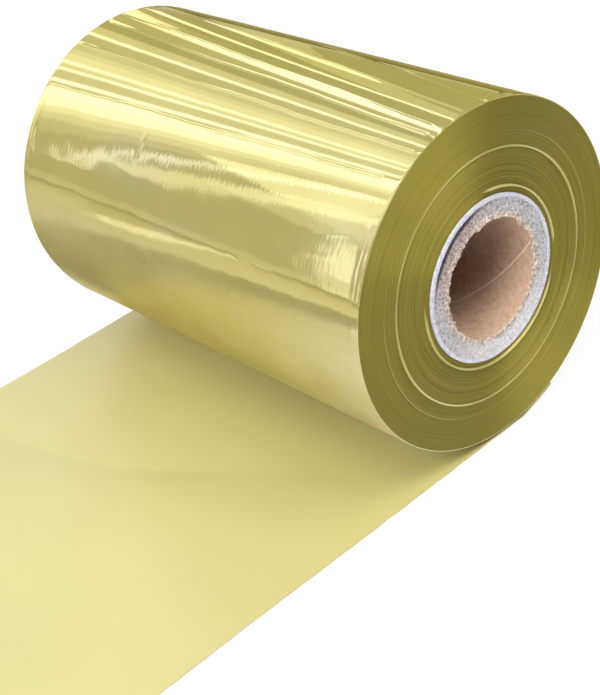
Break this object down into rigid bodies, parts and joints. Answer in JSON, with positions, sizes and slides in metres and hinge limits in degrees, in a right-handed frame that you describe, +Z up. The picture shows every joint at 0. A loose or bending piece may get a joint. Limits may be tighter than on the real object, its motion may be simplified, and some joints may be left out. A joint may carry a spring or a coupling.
{
  "type": "roll of sign film",
  "caption": "Roll of gold metallised film wound on a spiral paper core; the roll turns as film pays out, and the free end lies flat under it and can be lifted.",
  "frame": {"origin": "on the axis of the core's bore, at mid-width of the roll", "axes": "+X along the core's axis, +Z up, the free end of the film runs out towards -Y"},
  "size_m": [0.111, 0.164, 0.0725],
  "materials": {
    "film_shiny": "polished",
    "film_edge": "satin",
    "film_matte": "satin",
    "kraft_liner": "matte",
    "grey_board": "matte",
    "white_cover": "matte",
    "tape": "satin"
  },
  "bodies": {
    "tail": {"film_tail": "film_matte", "film_rise": "film_shiny"},
    "roll": {"core_inner_liner": "kraft_liner", "core_board_ply_1": "grey_board", "core_board_ply_2": "grey_board", "core_board_ply_3": "grey_board", "core_board_ply_4": "grey_board", "core_board_ply_5": "grey_board", "core_board_ply_6": "grey_board", "core_cover_ply": "white_cover", "starter_tape": "tape", "film_laps_1": "film_edge", "film_proud_laps_1": "film_edge", "film_laps_2": "film_edge", "film_laps_3": "film_edge", "film_laps_4": "film_edge", "film_proud_laps_2": "film_edge", "film_laps_5": "film_edge", "film_proud_laps_3": "film_edge", "film_laps_6": "film_edge", "film_laps_7": "film_edge", "film_last_lap": "film_shiny"},
    "tail_end": {"film_tail_end": "film_matte"}
  },
  "joints": [
    {"name": "roll_turn", "type": "hinge", "parent": "tail", "child": "roll", "pos_m": [0, 0, 0], "axis": [-1, 0, 0], "continuous": true},
    {"name": "tail_lift", "type": "hinge", "parent": "tail", "child": "tail_end", "pos_m": [0, -0.06605, -0.03634], "axis": [-1, 0, 0], "range_deg": [0, 80]}
  ]
}
